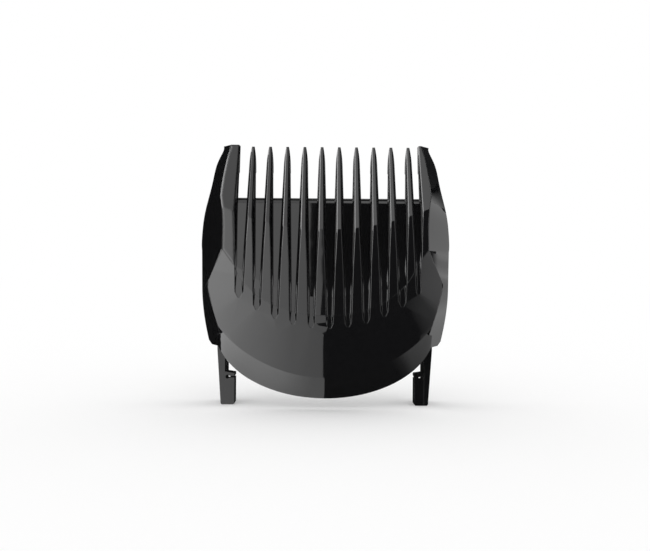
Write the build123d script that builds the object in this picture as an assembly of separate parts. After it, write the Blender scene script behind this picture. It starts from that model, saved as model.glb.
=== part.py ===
from build123d import *
import math
import os

# Guide comb of a hair clipper, all sizes in millimetres.
# It stands upright: teeth up, snap legs down, skin side towards -Y.
# Depths are measured backwards from the foremost point of the face.

# ------------------------------------------------------------------ faces
face_crease_z = 21.2           # where the toothed face meets the dish, at the centre
blade_face_lean = 0.156        # depth gained per millimetre of height
blade_face_radius = 170.0      # sideways bulge of the toothed face
upper_lean = 0.475
upper_base_z, upper_base_depth = 43.3, 4.45
dish_radius = 95.0             # bulge of the lower shell, both ways
dish_centre_z = 20.15
crease_end_x = 20.2            # the crease turns up to the kink from here

# ------------------------------------------------------------------ grooves
floor_lean = 0.325
floor_base_z, floor_base_depth = 27.1, 1.8
groove_floor_depth = 0.55      # least depth of a groove below the toothed face
slot_end_z = 18.4              # lowest groove end, at the centre of the arc
slot_arc_radius = 31.7
slot_arc_x = 0.3
slot_end_radius = 0.47
slot_run = 3.0                 # a groove reaches full width this far above its end
plate_thickness = 1.4
plate_top_z = 47.65
plate_top_radius = 1.2

# ------------------------------------------------------------------ teeth
tooth_count = 10
tooth_pitch = 4.0
tooth_row_offset = 1.03        # the row sits off the comb's centre line
tooth_tip_z = 59.85
tooth_foot_width = 3.53        # of a tooth at taper_base_z, on the groove floor
tooth_taper = 0.0572           # width lost per millimetre of height
taper_base_z = 21.0
flank_slope = 0.135            # width lost by a flank per millimetre towards the front
flare_slope = 1.5              # and by the flare where a flank meets the floor
foot_flare = 0.2               # width of the flare
shallow_flare = 0.35           # and where the groove is shallow
edge_break = 0.2               # 45 degree break along the front edges
tip_shoulder_z = 55.5          # the flanks start to curve in to the tip here
tip_half_width = 0.3
blade_notch_z = 53.3           # the cutting edge lies below this, behind the teeth
heel_rise = 0.45
tip_thickness = 0.3
tooth_heel = 1.3               # the tips reach this far behind the notch

# ------------------------------------------------------------------ outer teeth
left_gap_extra = 0.1           # the gap beside the left outer tooth is this much wider
right_gap_extra = -0.7         # and the one beside the right outer tooth is narrower
inner_upright_z = 44.0         # the inner edges stand upright above this
outer_tooth_top_z = 60.3
outer_corner_radius = 1.1
outer_corner_x = 25.25         # half width where the corner starts to round

# ------------------------------------------------------------------ side walls
# level, half width of the front edge, half width of the widest line
side_levels = [
    (13.9, 22.2, 26.8),
    (16.9, 23.1, 27.5),
    (22.0, 24.8, 28.35),
    (28.0, 26.3, 28.7),
    (35.7, 23.0, 28.8),
    (38.2, 23.0, 28.85),
    (41.0, 23.0, 28.65),
    (45.2, 23.3, 28.0),
    (48.0, 23.8, 27.3),
    (52.2, 23.5, 26.3),
    (56.4, 22.9, 25.3),
    (61.0, 22.2, 25.5),
]
ear_level = 3                  # the front edge turns a corner at these two levels
kink_level = ear_level + 1
widest_depth = 13.0
least_flare = 3.0              # the side widens over at least this much depth
rear_inset = 0.3
wall = 1.6
cheek_wall = 1.3
cheek_chamfer = 0.7
cheek_clearance = 0.6          # room for a leg to spring outwards
cheek_foot_x, cheek_foot_z = 23.95, 16.7
back_slope_z, back_mid_z = 42.0, 50.5
back_mid_depth, back_top_depth = 17.0, 15.6

# ------------------------------------------------------------------ rim
rim_front_depth, rim_depth = -1.0, 6.0
rim_front_half_width, rim_front_drop, rim_front_z = 29.2, 36.7, 46.2
rim_rear_half_width, rim_rear_drop, rim_rear_z = 24.8, 15.7, 18.0

# ------------------------------------------------------------------ legs
leg_outer_x = 24.85
leg_thickness = 1.8
leg_front_depth, leg_depth = 11.5, 8.0
overall_depth = leg_front_depth + leg_depth
leg_root_z = 22.0
leg_taper, leg_taper_z = 0.85, 12.8   # the outer face leans in below this level
root_height = 3.5
root_gap = 0.05
catch_reach, catch_depth = 2.2, 4.0
catch_top_z = 7.6
catch_slit_z, catch_slit = 6.4, 0.35
catch_slit_reach = 1.6
catch_hole_radius = 0.45
catch_ramp = 0.5
foot_radius = 0.4

far = 80.0                     # larger than the comb in every direction
hair = 0.01


# ------------------------------------------------------------------ helpers
def block(x0, x1, y0, y1, z0, z1):
    size = (x1 - x0, y1 - y0, z1 - z0)
    centre = ((x0 + x1) / 2, (y0 + y1) / 2, (z0 + z1) / 2)
    return Pos(*centre) * Box(*size)


def front_prism(points):
    """A front-view outline run through the whole depth."""
    outline = [Vector(x, -far / 2, z) for x, z in points]
    face = make_face(Polyline(*outline, close=True))
    return extrude(face, far, dir=(0, 1, 0))


def behind_plane(z, depth, lean):
    """Everything behind a plane that leans back with height."""
    low, high = -far, far * 2
    profile = [
        Vector(-far, depth + lean * (low - z), low),
        Vector(-far, depth + lean * (high - z), high),
        Vector(-far, far * 2, high),
        Vector(-far, far * 2, low),
    ]
    face = make_face(Polyline(*profile, close=True))
    return extrude(face, 2 * far, dir=(1, 0, 0))


def behind_face(offset=0.0):
    """Everything behind the toothed face, a leaning cylinder."""
    reach = 40.0
    sag = reach ** 2 / (2 * blade_face_radius)
    start_z = face_crease_z - reach
    depth = offset - blade_face_lean * reach
    arc = ThreePointArc(
        (-reach, depth + sag, start_z), (0, depth, start_z), (reach, depth + sag, start_z)
    )
    rear = Polyline(
        (reach, depth + sag, start_z), (reach, far, start_z),
        (-reach, far, start_z), (-reach, depth + sag, start_z),
    )
    face = make_face([arc, rear])
    return extrude(face, 2 * far, dir=(0, blade_face_lean, 1))


def behind_dish(offset=0.0):
    centre_depth = dish_radius
    ball = Pos(0, centre_depth, dish_centre_z) * Sphere(dish_radius - offset)
    return ball & block(-far, far, -far, centre_depth, -far, far)


def toothed_depth(x, z):
    """Depth of the toothed face, or of the upper face above it."""
    toothed = blade_face_lean * (z - face_crease_z) + x ** 2 / (2 * blade_face_radius)
    return max(toothed, upper_base_depth + upper_lean * (z - upper_base_z))


def face_depth(x, z):
    """Depth of the visible front at a point of the front view."""
    if z >= side_levels[kink_level][0]:
        return toothed_depth(x, z)
    return (x ** 2 + (z - dish_centre_z) ** 2) / (2 * dish_radius)


# ------------------------------------------------------------------ side walls
def side_section(level, inset):
    """One level of the body between the two side walls."""
    z, front_x, wide_x = level
    depth = face_depth(front_x, z)
    wide_depth = max(widest_depth, depth + least_flare)
    slope = (wide_x - front_x) / (wide_depth - depth)
    start_x = wide_x - slope * (wide_depth + 1) - inset
    wide_x = wide_x - inset
    rear_x = wide_x - rear_inset
    rear_depth = overall_depth + (1 if inset else 0)
    half = [(start_x, -1), (wide_x, wide_depth), (rear_x, rear_depth)]
    other = [(-x, y) for x, y in reversed(half)]
    return make_face(Polyline(*[Vector(x, y, z) for x, y in half + other], close=True))


def side_body(inset=0.0):
    """Outer form of the comb above the cheeks' lower edge."""
    spans = [(0, ear_level), (ear_level, kink_level), (kink_level, len(side_levels) - 1)]
    body = None
    for first, last in spans:
        sections = [side_section(s, inset) for s in side_levels[first:last + 1]]
        piece = loft(sections, ruled=(last - first == 1))
        body = piece if body is None else body + piece
    return body


# ------------------------------------------------------------------ rim
def rim_outline(half_width, drop, centre_z, depth, inset):
    """Half ellipse below, straight sides up past the crease."""
    width, height = half_width - inset, drop - inset
    low = EllipticalCenterArc((0, 0), width, height, 180, arc_size=180)
    above = overall_depth
    sides = Polyline((width, 0), (width, above), (-width, above), (-width, 0))
    plane = Plane(origin=(0, depth, centre_z), x_dir=(1, 0, 0), z_dir=(0, -1, 0))
    return plane * make_face([low, sides])


def rim_body(inset=0.0):
    front = rim_outline(
        rim_front_half_width, rim_front_drop, rim_front_z, rim_front_depth, inset
    )
    rear = rim_outline(
        rim_rear_half_width, rim_rear_drop, rim_rear_z, rim_depth, inset
    )
    return loft([front, rear], ruled=True)


# ------------------------------------------------------------------ regions
def front_view(edges):
    """A front-view face, from edges drawn in (x, z), run through the depth."""
    plane = Plane(origin=(0, far, 0), x_dir=(1, 0, 0), z_dir=(0, -1, 0))
    return extrude(plane * make_face(edges), 2 * far)


def above_crease():
    """The toothed zone: above the line where the toothed face meets the dish."""
    curvature = 1 / (2 * dish_radius)
    difference = curvature - 1 / (2 * blade_face_radius)
    centre_rise = blade_face_lean * dish_radius
    level = centre_rise ** 2 * curvature
    level += blade_face_lean * (dish_centre_z - face_crease_z)
    width = math.sqrt(level / difference)
    height = math.sqrt(level / curvature)
    centre_z = dish_centre_z + centre_rise
    angle = math.degrees(math.acos(crease_end_x / width))
    arc = EllipticalCenterArc(
        (0, centre_z), width, height, 180 + angle, arc_size=180 - 2 * angle
    )
    kink_z, kink_x, _ = side_levels[kink_level]
    start, end = arc @ 0, arc @ 1
    around = Polyline(
        (end.X, end.Y), (kink_x, kink_z), (far, kink_z), (far, far),
        (-far, far), (-far, kink_z), (-kink_x, kink_z), (start.X, start.Y),
    )
    return front_view([arc, around])


def inside_seam():
    """Between the front edges of the two side walls."""
    half = [(cheek_foot_x, -1), (cheek_foot_x, cheek_foot_z)]
    half += [(x, z) for z, x, _ in side_levels[1:]]
    half += [(side_levels[-1][1], far)]
    other = [(-x, z) for x, z in reversed(half)]
    return front_prism(half + other)


def side_profile():
    """Side view of the side walls' rear edge."""
    low = side_levels[0][0]
    points = [
        (-far, low), (overall_depth, low), (overall_depth, back_slope_z),
        (back_mid_depth, back_mid_z), (back_top_depth, outer_tooth_top_z),
        (-far, outer_tooth_top_z),
    ]
    outline = [Vector(-far, y, z) for y, z in points]
    return extrude(make_face(Polyline(*outline, close=True)), 2 * far, dir=(1, 0, 0))


def foot_half_width(z):
    return (tooth_foot_width - tooth_taper * (z - taper_base_z)) / 2


def tooth_x(index):
    return tooth_row_offset + (index - (tooth_count - 1) / 2) * tooth_pitch


def inner_x(side, z):
    """Half width at the foot of an outer tooth's inner edge."""
    place = tooth_x(-1) if side < 0 else tooth_x(tooth_count)
    extra = left_gap_extra if side < 0 else right_gap_extra
    return abs(place) - foot_half_width(min(z, inner_upright_z)) + extra


def slot_centre(index, z):
    """Middle of the gap before a tooth."""
    left = tooth_x(index - 1) + foot_half_width(z)
    right = tooth_x(index) - foot_half_width(z)
    if index == 0:
        left = -inner_x(-1, z)
    if index == tooth_count:
        right = inner_x(1, z)
    return (left + right) / 2


def slot_low(x):
    """Level of a groove's lower end."""
    rise = math.sqrt(slot_arc_radius ** 2 - (x - slot_arc_x) ** 2)
    return slot_end_z + slot_arc_radius - rise


def slot(index):
    """Front view of a groove's lower end, rounded, where it runs out into the dish."""
    top = side_levels[kink_level][0]
    radius, reach = slot_end_radius, tooth_pitch / 2
    low = slot_low(slot_centre(index, taper_base_z))
    centre = slot_centre(index, low)
    start, full = low + radius, low + slot_run
    half = [(radius, start), (reach, full), (reach, top)]
    other = [(-x, z) for x, z in reversed(half)]
    outline = make_face(Polyline(*half, *other, close=True))
    outline += Pos(0, start) * Circle(radius)
    plane = Plane(origin=(centre, far, 0), x_dir=(1, 0, 0), z_dir=(0, -1, 0))
    return extrude(plane * outline, 2 * far)


# ------------------------------------------------------------------ teeth
def floor_depth(z):
    return floor_base_depth + floor_lean * (z - floor_base_z)


def tooth_rear():
    """Side view of a tooth's rear: on the plate, a notch, then a heel."""
    top = tooth_tip_z + 1
    points = [
        (-far, 0), (far, 0), (floor_base_depth, floor_base_z),
        (floor_depth(blade_notch_z), blade_notch_z),
        (floor_depth(blade_notch_z) + tooth_heel, blade_notch_z + heel_rise),
        (floor_depth(top) + tip_thickness, top), (-far, top),
    ]
    outline = [Vector(-far, y, z) for y, z in points]
    return extrude(make_face(Polyline(*outline, close=True)), 2 * far, dir=(1, 0, 0))


def inboard(edge, floor, inset, slope):
    """Everything on the low side of a plane that rises forwards from a foot line."""
    start, end = [
        Vector(edge(z) - inset, floor(z), z) for z in (taper_base_z, inner_upright_z)
    ]
    normal = (end - start).cross(Vector(-slope, -1, 0))
    if normal.X < 0:
        normal = -normal
    plane = Plane(origin=start, z_dir=normal)
    return plane * Pos(0, 0, -far / 2) * Box(4 * far, 4 * far, far)


def broken_edge(edge, foot, inset, front):
    """Inboard of the break along the front edge of a flank."""
    def front_edge(z):
        return edge(z) - inset - flank_slope * (foot(z) - front(z))

    return inboard(front_edge, lambda z: front(z) + edge_break, 0, 1)


def flank(edge, x):
    """Inboard of a flared flank near x, on whichever groove floor lies deeper."""
    def face(z):
        return blade_face_lean * (z - face_crease_z) + x ** 2 / (2 * blade_face_radius)

    def skin(z):
        return face(z) + groove_floor_depth

    def upper(z):
        return upper_base_depth + upper_lean * (z - upper_base_z)

    def dish(z):
        rise = slot_low(x) + slot_run / 2 - dish_centre_z
        depth = (x ** 2 - rise ** 2) / (2 * dish_radius)
        return depth + rise / dish_radius * (z - dish_centre_z)

    steep = inboard(edge, floor_depth, foot_flare, flank_slope)
    steep &= inboard(edge, skin, shallow_flare, flank_slope)
    flare = inboard(edge, floor_depth, 0, flare_slope)
    flare &= inboard(edge, skin, 0, flare_slope)
    solid = steep + flare
    solid &= broken_edge(edge, floor_depth, foot_flare, upper)
    solid &= broken_edge(edge, floor_depth, foot_flare, face)
    solid &= broken_edge(edge, skin, shallow_flare, face)
    return solid & broken_edge(edge, skin, shallow_flare, dish)


def tooth_outline():
    """Front view of a tooth: straight flanks, then arcs that close to the tip."""
    low, shoulder = slot_end_z - slot_run, tip_shoulder_z
    wide, narrow = foot_half_width(low), foot_half_width(shoulder)
    end, top = tip_half_width, tooth_tip_z
    right = TangentArc(
        (narrow, shoulder), (end, top), tangent=(narrow - wide, shoulder - low)
    )
    sides = [
        Line((wide, low), (narrow, shoulder)), Line((-wide, low), (-narrow, shoulder)),
        Line((wide, low), (-wide, low)), Line((end, top), (-end, top)),
    ]
    return front_view([right, mirror(right, Plane.YZ), *sides])


def tooth_blank(index):
    """One tooth, drawn in towards the front from its foot lines."""
    x, half = tooth_x(index), foot_half_width(inner_upright_z)
    right = flank(foot_half_width, half + x)
    left = mirror(flank(foot_half_width, half - x), Plane.YZ)
    return Pos(x, 0, 0) * (right & left & tooth_outline())


# ------------------------------------------------------------------ outer teeth
def outer_tooth_blank(side):
    """A wide outer tooth from its inner edge outwards, upright near the top."""
    low, top, corner = slot_end_z - slot_run, outer_tooth_top_z, tip_half_width
    upright = inner_x(side, inner_upright_z)
    points = [
        (inner_x(side, low), low), (upright, inner_upright_z), (upright, top - corner),
        (upright + corner, top), (far, top), (far, low),
    ]
    outline = front_prism([(-x, z) for x, z in points])
    leaning = flank(lambda z: -inner_x(side, z), upright)
    leaning &= block(-far, far, -far, far, 0, inner_upright_z)
    straight = flank(lambda z: -upright, upright)
    straight &= block(-far, far, -far, far, inner_upright_z, far)
    blank = (leaning + straight) & outline
    return blank if side < 0 else mirror(blank, Plane.YZ)


def outer_corner(side):
    """Rounds the outer top corner of the side wall and its outer tooth."""
    radius = outer_corner_radius
    x, z = outer_corner_x, outer_tooth_top_z
    corner = make_face(Polyline((x - radius, z - radius), (far, z - radius), (far, far),
                                (x - radius, far), (x - radius, z - radius)))
    corner -= Pos(x - radius, z - radius) * Circle(radius)
    plane = Plane(origin=(0, far, 0), x_dir=(1, 0, 0), z_dir=(0, -1, 0))
    solid = extrude(plane * corner, 2 * far)
    return solid if side > 0 else mirror(solid, Plane.YZ)


# ------------------------------------------------------------------ plate
def plate_region():
    """Side view of the plate, its top edge rounded to the front."""
    top, radius = plate_top_z, plate_top_radius
    start = (floor_depth(top - radius), top - radius)
    end = (floor_depth(top - radius) + 0.9 * radius, top)
    arc = TangentArc(start, end, tangent=(floor_lean, 1))
    rest = Polyline(end, (far, top), (far, 0), (floor_depth(0), 0), start)
    plane = Plane(origin=(-far, 0, 0), x_dir=(0, 1, 0), z_dir=(1, 0, 0))
    return extrude(plane * make_face([arc, rest]), 2 * far)


# ------------------------------------------------------------------ legs
def leg_span():
    return leg_front_depth, leg_front_depth + leg_depth


def leg(side):
    """Spring leg with a round root, drawn in (x, z) for the +X side."""
    outer, inner = leg_outer_x, leg_outer_x - leg_thickness
    front, rear = leg_span()
    outline = [
        (inner, 0), (outer - leg_taper, 0), (outer, leg_taper_z),
        (outer, leg_root_z), (inner, leg_root_z),
    ]
    strip = front_prism(outline) & block(0, far, front, rear, 0, far)
    pivot = Pos(outer - leg_thickness / 2, (front + rear) / 2, leg_root_z)
    strip += pivot * Rot(90, 0, 0) * Cylinder(leg_thickness / 2, leg_depth)
    lower = [
        e for e in strip.edges().filter_by(Axis.Y)
        if e.center().Z < hair and e.center().X > inner + hair
    ]
    strip = fillet(lower, foot_radius)
    return strip if side > 0 else mirror(strip, Plane.YZ)


def catch(side):
    """Lug on the inside of a leg, with a slit that lets it give."""
    inner = leg_outer_x - leg_thickness
    tip = inner - catch_reach
    front, rear = leg_front_depth, leg_front_depth + catch_depth
    lug = block(tip, inner, front, rear, 0, catch_top_z)
    corners = [e for e in lug.edges().filter_by(Axis.Y) if e.center().X < inner - hair]
    lug = fillet(corners, foot_radius)
    ramp = [(tip - 1, catch_top_z - catch_ramp), (inner, catch_top_z), (inner, far), (tip - 1, far)]
    lug -= front_prism(ramp)
    slit_top = catch_slit_z + catch_slit / 2
    slit_end = tip + catch_slit_reach
    lug -= block(0, slit_end, 0, far, slit_top - catch_slit, slit_top)
    hole = Pos(slit_end, (front + rear) / 2, catch_slit_z)
    lug -= hole * Rot(90, 0, 0) * Cylinder(catch_hole_radius, 2 * far)
    return lug if side > 0 else mirror(lug, Plane.YZ)


def leg_root(side, hollow):
    """Rib that ties the top of a leg to the inside of its side wall."""
    inner = leg_outer_x - leg_thickness
    front, rear = leg_front_depth, leg_front_depth + leg_depth
    low = leg_root_z + leg_thickness / 2 + root_gap
    rib = block(inner, far, front, rear, low, low + root_height)
    if side < 0:
        rib = mirror(rib, Plane.YZ)
    return rib & hollow


# ------------------------------------------------------------------ assembly
def one_solid(shape):
    """The main piece, without any loose sliver left by a cut."""
    return max(shape.solids(), key=lambda solid: solid.volume)


def main():
    os.makedirs("parts", exist_ok=True)
    upper = above_crease()
    seam = inside_seam()
    face, upper_face = behind_face(), behind_plane(upper_base_z, upper_base_depth, upper_lean)
    dish = behind_dish()
    floor_plane = behind_plane(floor_base_z, floor_base_depth, floor_lean)
    floor_skin = behind_face(groove_floor_depth)
    plate_rear = behind_plane(
        floor_base_z, floor_base_depth + plate_thickness * math.hypot(1, floor_lean), floor_lean
    )
    inner_side = side_body(cheek_wall)
    hollow = inner_side & plate_rear & behind_dish(wall)
    nodes = {}

    outer = side_body() & side_profile()
    walls = outer - hollow - seam
    low_walls = (walls & dish) - upper
    high_walls = walls & upper & face & upper_face
    walls = low_walls + high_walls
    leg_room = leg_outer_x + cheek_clearance
    walls -= block(
        -leg_room, leg_room, leg_front_depth - cheek_clearance, far,
        0, leg_root_z + leg_thickness / 2 + root_gap,
    )
    foot_x, foot_z = side_levels[0][2], side_levels[0][0]
    for name, side in (("left", -1), ("right", 1)):
        half = block(0, far, -far, far, -far, far)
        if side < 0:
            half = mirror(half, Plane.YZ)
        corner = [
            (foot_x - cheek_chamfer, foot_z - hair), (far, foot_z - hair),
            (far, far), (foot_x + cheek_chamfer, foot_z + 2 * cheek_chamfer),
        ]
        corner = front_prism([(side * x, z) for x, z in corner])
        cut = outer_corner(side) + corner
        nodes["cheek_" + name] = one_solid((walls & half) - cut)

    shell = (rim_body() & dish) - upper
    shell = shell & seam
    shell -= rim_body(wall) & behind_dish(wall)
    shell -= hollow & block(-far, far, -far, far, cheek_foot_z, far)
    blanks = [outer_tooth_blank(-1)]
    blanks += [tooth_blank(index) for index in range(tooth_count)]
    blanks.append(outer_tooth_blank(1))
    for index in range(tooth_count + 1):
        shell -= slot(index) - blanks[index] - blanks[index + 1] - floor_skin
    nodes["face_shell"] = one_solid(shell)

    plate = side_body() & floor_plane & floor_skin & upper & seam & plate_region()
    nodes["blade_plate"] = one_solid(plate - hollow)

    front = face & upper_face & upper
    stand = floor_plane & floor_skin & plate_region()
    for index, blank in enumerate(blanks[1:-1]):
        tooth = blank & tooth_rear() & front
        nodes[f"tooth_{index + 1:02d}"] = one_solid(tooth - stand)
    for name, side in (("left", -1), ("right", 1)):
        blank = blanks[0] if side < 0 else blanks[-1]
        tooth = blank & tooth_rear() & front & seam & outer
        nodes["outer_tooth_" + name] = one_solid(tooth - stand)
        nodes["leg_" + name] = leg(side)
        nodes["catch_" + name] = catch(side)
        nodes["leg_root_" + name] = one_solid(leg_root(side, inner_side))

    for name, shape in nodes.items():
        moved = Pos(0, -overall_depth / 2, 0) * shape
        export_step(moved, f"parts/{name}.step")


main()
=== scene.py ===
import math

import bpy
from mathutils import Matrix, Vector

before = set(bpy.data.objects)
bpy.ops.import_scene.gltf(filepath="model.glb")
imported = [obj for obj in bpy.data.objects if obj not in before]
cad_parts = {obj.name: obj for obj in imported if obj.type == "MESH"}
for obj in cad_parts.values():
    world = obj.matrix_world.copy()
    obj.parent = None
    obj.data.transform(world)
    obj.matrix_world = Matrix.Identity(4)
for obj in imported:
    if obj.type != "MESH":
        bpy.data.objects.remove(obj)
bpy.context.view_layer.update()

# Camera: lengths in metres unless the name says otherwise.
WIDTH = 650                         # of the picture, in pixels
METRES_PER_PIXEL = 0.2193e-3        # at the reference depth
FOCAL_PIXELS = 850.0
SENSOR_MM = 36.0
REFERENCE_Y = -0.00975 + 0.00105    # depth of the outer teeth's front at their feet
LOOK_X = -0.00006
LOOK_Z = 0.0300
ROLL = math.radians(0.45)
CLIP_START = 0.01

# Plastic: a near-black tint and a high gloss, both slightly uneven, on a faintly wavy moulding.
PLASTIC_IOR = 1.5
TINT_DARK = (0.0035, 0.0035, 0.004, 1)
TINT_LIGHT = (0.0065, 0.0065, 0.007, 1)
ROUGHNESS = (0.015, 0.04)
FINE_SCALE, FINE_DETAIL = 900.0, 6.0
WAVE_SCALE, WAVE_DETAIL = 140.0, 2.0
WAVE_STRENGTH, WAVE_HEIGHT = 0.3, 0.00002

# Radii of the edges, rounded in the shading only.
EDGE_SAMPLES = 8
CRISP_EDGE = 0.00015
SHELL_EDGE = 0.00009
SHARP_EDGE = 0.00004
OUTER_EDGE = 0.0008
OUTER_EDGE_X = (0.0200, 0.0208)     # distances from the middle between which the outer edge takes over

# Stage: cards that the gloss mirrors, and dark drapes behind them.
CENTRE = Vector((0, 0, LOOK_Z))
CARD_RADIUS = 1.2
CARD_STEPS = 24
DRAPE_RADIUS = 1.1 * CARD_RADIUS
DRAPE_CELL = 2                      # degrees
DRAPE_DARK, DRAPE_DIM = 0.01, 0.04
SIDE_RIGHT_TOP = 15.5               # elevation above which the right side card is off
SIDE_RIGHT_FADE = 5                 # degrees over which it gets there

FLOOR_HALF = 3.0
FLOOR_WHITE = 0.9


# ------------------------------------------------------------------ materials
def plastic(name, edge_radius, outer_radius=None):
    """Glossy black plastic; outer_radius rounds the edges that lie furthest from the middle more."""
    mat = bpy.data.materials.new(name)
    mat.use_nodes = True
    nodes, links = mat.node_tree.nodes, mat.node_tree.links
    shader = nodes["Principled BSDF"]
    shader.inputs["IOR"].default_value = PLASTIC_IOR
    coords = nodes.new("ShaderNodeTexCoord")
    fine = nodes.new("ShaderNodeTexNoise")
    fine.inputs["Scale"].default_value = FINE_SCALE
    fine.inputs["Detail"].default_value = FINE_DETAIL
    links.new(coords.outputs["Object"], fine.inputs["Vector"])
    tint = nodes.new("ShaderNodeMix")
    tint.data_type = "RGBA"
    tint.inputs[6].default_value = TINT_DARK
    tint.inputs[7].default_value = TINT_LIGHT
    links.new(fine.outputs["Fac"], tint.inputs[0])
    links.new(tint.outputs[2], shader.inputs["Base Color"])
    rough = nodes.new("ShaderNodeMapRange")
    rough.inputs["To Min"].default_value, rough.inputs["To Max"].default_value = ROUGHNESS
    links.new(fine.outputs["Fac"], rough.inputs["Value"])
    links.new(rough.outputs["Result"], shader.inputs["Roughness"])
    bevel = nodes.new("ShaderNodeBevel")
    bevel.samples = EDGE_SAMPLES
    bevel.inputs["Radius"].default_value = edge_radius
    if outer_radius is not None:
        split = nodes.new("ShaderNodeSeparateXYZ")
        width = nodes.new("ShaderNodeMath")
        width.operation = "ABSOLUTE"
        radius = nodes.new("ShaderNodeMapRange")
        radius.inputs["From Min"].default_value, radius.inputs["From Max"].default_value = OUTER_EDGE_X
        radius.inputs["To Min"].default_value = edge_radius
        radius.inputs["To Max"].default_value = outer_radius
        links.new(coords.outputs["Object"], split.inputs["Vector"])
        links.new(split.outputs["X"], width.inputs[0])
        links.new(width.outputs["Value"], radius.inputs["Value"])
        links.new(radius.outputs["Result"], bevel.inputs["Radius"])
    wave = nodes.new("ShaderNodeTexNoise")
    wave.inputs["Scale"].default_value = WAVE_SCALE
    wave.inputs["Detail"].default_value = WAVE_DETAIL
    links.new(coords.outputs["Object"], wave.inputs["Vector"])
    bump = nodes.new("ShaderNodeBump")
    bump.inputs["Strength"].default_value = WAVE_STRENGTH
    bump.inputs["Distance"].default_value = WAVE_HEIGHT
    links.new(wave.outputs["Fac"], bump.inputs["Height"])
    links.new(bevel.outputs["Normal"], bump.inputs["Normal"])
    links.new(bump.outputs["Normal"], shader.inputs["Normal"])
    return mat


CRISP = plastic("gloss_black_crisp", CRISP_EDGE)
SOFT = plastic("gloss_black_outer_teeth", CRISP_EDGE, OUTER_EDGE)
SHARP = plastic("gloss_black_legs", SHARP_EDGE)
SHELL = plastic("gloss_black_shell", SHELL_EDGE)
for name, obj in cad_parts.items():
    obj.data.materials.clear()
    finish = CRISP
    if name == "outer_tooth_left":
        finish = SOFT
    elif name == "face_shell":
        finish = SHELL
    elif name.startswith(("leg", "catch")):
        finish = SHARP
    obj.data.materials.append(finish)


# ------------------------------------------------------------------ stage
def direction(azimuth, elevation):
    """Degrees: azimuth 0 points past the camera and grows towards +X, elevation 0 is level."""
    a, e = math.radians(azimuth), math.radians(elevation)
    return Vector((math.sin(a) * math.cos(e), -math.cos(a) * math.cos(e), math.sin(e)))


def along(knots, x):
    """Straight-line interpolation through (place, value) pairs in rising order."""
    for (x0, y0), (x1, y1) in zip(knots, knots[1:]):
        if x <= x1:
            return y0 + (y1 - y0) * max(x - x0, 0) / (x1 - x0)
    return knots[-1][1]


def card_glow():
    """Emission whose strength is a number kept on each vertex of the card."""
    mat = bpy.data.materials.new("card_glow")
    mat.use_nodes = True
    nodes, links = mat.node_tree.nodes, mat.node_tree.links
    nodes.clear()
    out = nodes.new("ShaderNodeOutputMaterial")
    emission = nodes.new("ShaderNodeEmission")
    strength = nodes.new("ShaderNodeAttribute")
    strength.attribute_name = "strength"
    links.new(strength.outputs["Fac"], emission.inputs["Strength"])
    links.new(emission.outputs["Emission"], out.inputs["Surface"])
    return mat


CARD_GLOW = card_glow()


def stage_mesh(name, verts, faces, strengths):
    """A card or drape: only the comb's gloss sees it, and it casts no light or shadow on the floor."""
    mesh = bpy.data.meshes.new(name)
    mesh.from_pydata(verts, [], faces)
    mesh.attributes.new("strength", "FLOAT", "POINT").data.foreach_set("value", strengths)
    mesh.materials.append(CARD_GLOW)
    obj = bpy.data.objects.new(name, mesh)
    bpy.context.scene.collection.objects.link(obj)
    obj.visible_camera = obj.visible_diffuse = obj.visible_shadow = obj.visible_transmission = False


def card(name, azimuth, elevation, strength, steps=CARD_STEPS):
    """A patch of the ball round the comb between two azimuths and two elevations."""
    verts, faces, strengths = [], [], []
    for i in range(steps + 1):
        for j in range(steps + 1):
            a = azimuth[0] + (azimuth[1] - azimuth[0]) * i / steps
            e = elevation[0] + (elevation[1] - elevation[0]) * j / steps
            verts.append(CENTRE + CARD_RADIUS * direction(a, e))
            strengths.append(strength(a, e))
    for i in range(steps):
        for j in range(steps):
            k = i * (steps + 1) + j
            faces.append((k, k + 1, k + steps + 2, k + steps + 1))
    stage_mesh(name, verts, faces, strengths)


def drape_strength(azimuth, elevation):
    """Darkest at the back and the back left, a little lighter elsewhere."""
    dark = not -100 < azimuth < 162 and -30 < elevation < 35
    return DRAPE_DARK if dark else DRAPE_DIM


def drapes(name, openings):
    """Dark cloth all round, with openings through which the white surroundings show."""
    columns, rows = 360 // DRAPE_CELL, 180 // DRAPE_CELL
    corners = [
        (column * DRAPE_CELL - 180, row * DRAPE_CELL - 90)
        for column in range(columns)
        for row in range(rows + 1)
    ]
    verts = [CENTRE + DRAPE_RADIUS * direction(a, e) for a, e in corners]
    strengths = [drape_strength(a, e) for a, e in corners]
    faces = []
    for column in range(columns):
        for row in range(rows):
            a, e = (column + 0.5) * DRAPE_CELL - 180, (row + 0.5) * DRAPE_CELL - 90
            if any(a0 < a < a1 and e0 < e < e1 for (a0, a1), (e0, e1) in openings):
                continue
            k, n = column * (rows + 1) + row, ((column + 1) % columns) * (rows + 1) + row
            faces.append((k, k + 1, n + 1, n))
    stage_mesh(name, verts, faces, strengths)


def by_azimuth(knots, gain=1.0):
    return lambda azimuth, elevation: gain * along(knots, azimuth)


def by_elevation(knots):
    return lambda azimuth, elevation: along(knots, elevation)


def even(strength):
    return lambda azimuth, elevation: strength


def side_right(azimuth, elevation):
    fade = min(1, max(0, (SIDE_RIGHT_TOP - elevation) / SIDE_RIGHT_FADE))
    return along(SIDE_RIGHT, azimuth) * fade


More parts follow.
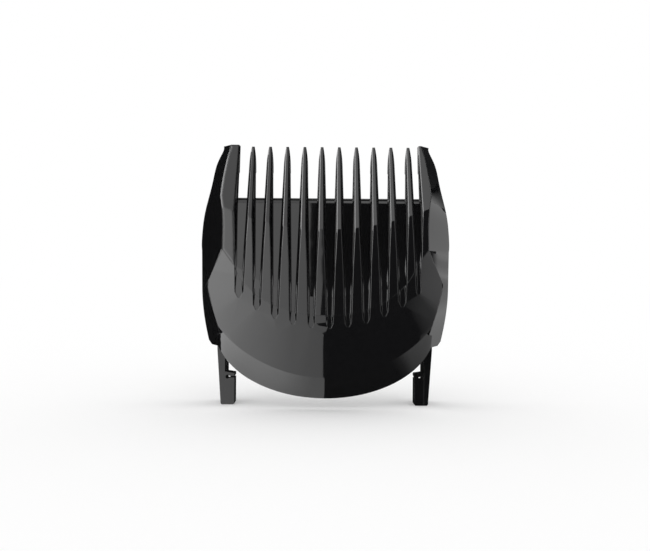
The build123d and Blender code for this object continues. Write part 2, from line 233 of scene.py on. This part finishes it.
# (angle in degrees, strength)
SIDE_LEFT = [(-82, 1.2), (-68, 3.6), (-54, 5.6), (-41, 5.2)]
LEFT = [
    (-41, 4.9), (-35, 4.2), (-30, 3.3), (-25, 2.8), (-20, 2.4),
    (-15, 2.05), (-10, 1.75), (-5, 1.5), (0, 1.4),
]
UNDER_LEFT = [
    (-90, 1.0), (-82, 1.15), (-77, 1.5), (-70, 2.05), (-61, 2.45), (-51, 2.7), (-43, 3.1), (-30, 3.3),
]
UNDER_RIGHT = [(-56, 0.04), (-52, 0.15), (-47, 0.55), (-38, 0.7), (-24, 0.75)]
RIGHT = [(31, 0.1), (32.5, 0.42), (34.5, 0.6), (36, 1.05), (38, 1.3), (60, 2.4), (84, 1.0)]
SIDE_RIGHT = [(128, 0.95), (133, 0.6), (138, 0.5), (148, 0.48), (152, 0.3), (156, 0.22), (162, 0.15)]
TOP = [(-40, 1.6), (-3, 1.5), (3, 2.0), (12, 2.0), (22, 1.2), (40, 1.1)]

card("card_left", (-41, -0.4), (-21, 11), by_azimuth(LEFT))
card("card_left_middle", (-41, -0.95), (11, 30), by_azimuth(LEFT, 1.06))
card("card_left_high", (-41, -1.5), (30, 47), by_azimuth(LEFT, 1.2))
card("card_side_left", (-82, -41), (-28, 60), by_azimuth(SIDE_LEFT))
card("card_edge_left", (-118, -82), (13, 44), even(6.0))
card("card_under_left", (-180, -62), (-89.5, -31), by_elevation(UNDER_LEFT))
card("card_under_front", (-62, -0.4), (-60, -21), even(2.0))
card("card_under_right", (70, 125), (-56, -24), by_elevation(UNDER_RIGHT))
card("card_right", (31, 84), (-22, 40), by_azimuth(RIGHT), steps=60)
card("card_side_right", (128, 162), (-20, 17), side_right)
card("card_top", (-40, 40), (49, 80), by_azimuth(TOP))
drapes(
    "drapes",
    [
        ((116, 128), (-22, 12)),
        ((110, 180), (34, 72)),
        ((-180, -110), (34, 72)),
        ((150, 180), (-60, -18)),
        ((-180, -150), (-60, -18)),
    ],
)

# The surroundings are plain white for every ray, at the strength at which colours render as written.
world = bpy.data.worlds.new("surroundings")
bpy.context.scene.world = world
world.use_nodes = True
world.node_tree.nodes["Background"].inputs["Color"].default_value = (1, 1, 1, 1)
world.node_tree.nodes["Background"].inputs["Strength"].default_value = 1.0


# ------------------------------------------------------------------ floor
def pale_floor():
    """White paint. Where it is looked at, mirrored or seen through something, it gives back the light that it
    swallows, so it meets the white surroundings without a horizon and keeps the comb's shadow."""
    mat = bpy.data.materials.new("pale_floor")
    mat.use_nodes = True
    nodes, links = mat.node_tree.nodes, mat.node_tree.links
    shader = nodes["Principled BSDF"]
    shader.inputs["Base Color"].default_value = (FLOOR_WHITE, FLOOR_WHITE, FLOOR_WHITE, 1)
    shader.inputs["Roughness"].default_value = 1.0
    shader.inputs["Specular IOR Level"].default_value = 0.0
    path = nodes.new("ShaderNodeLightPath")
    mirrored = nodes.new("ShaderNodeMath")
    links.new(path.outputs["Is Glossy Ray"], mirrored.inputs[0])
    links.new(path.outputs["Is Transmission Ray"], mirrored.inputs[1])
    looked_at = nodes.new("ShaderNodeMath")
    links.new(path.outputs["Is Camera Ray"], looked_at.inputs[0])
    links.new(mirrored.outputs["Value"], looked_at.inputs[1])
    seen = nodes.new("ShaderNodeMath")
    seen.operation = "MULTIPLY"
    seen.inputs[1].default_value = 1.0 - FLOOR_WHITE
    links.new(looked_at.outputs["Value"], seen.inputs[0])
    shader.inputs["Emission Color"].default_value = (1, 1, 1, 1)
    links.new(seen.outputs["Value"], shader.inputs["Emission Strength"])
    return mat


corners = [(x * FLOOR_HALF, y * FLOOR_HALF, 0) for x, y in ((-1, -1), (1, -1), (1, 1), (-1, 1))]
mesh = bpy.data.meshes.new("floor")
mesh.from_pydata(corners, [], [(0, 1, 2, 3)])
mesh.materials.append(pale_floor())
floor = bpy.data.objects.new("floor", mesh)
bpy.context.scene.collection.objects.link(floor)
floor.visible_glossy = False        # in the gloss the cards and drapes stand in its place

# ------------------------------------------------------------------ camera
distance = FOCAL_PIXELS * METRES_PER_PIXEL
camera_data = bpy.data.cameras.new("camera")
camera_data.sensor_width = SENSOR_MM
camera_data.lens = FOCAL_PIXELS * SENSOR_MM / WIDTH
camera_data.clip_start = CLIP_START
camera = bpy.data.objects.new("camera", camera_data)
bpy.context.scene.collection.objects.link(camera)
camera.location = (LOOK_X, REFERENCE_Y - distance, LOOK_Z)
camera.rotation_euler = (math.radians(90), -ROLL, 0)
bpy.context.scene.camera = camera

bpy.context.scene.view_settings.view_transform = "Standard"
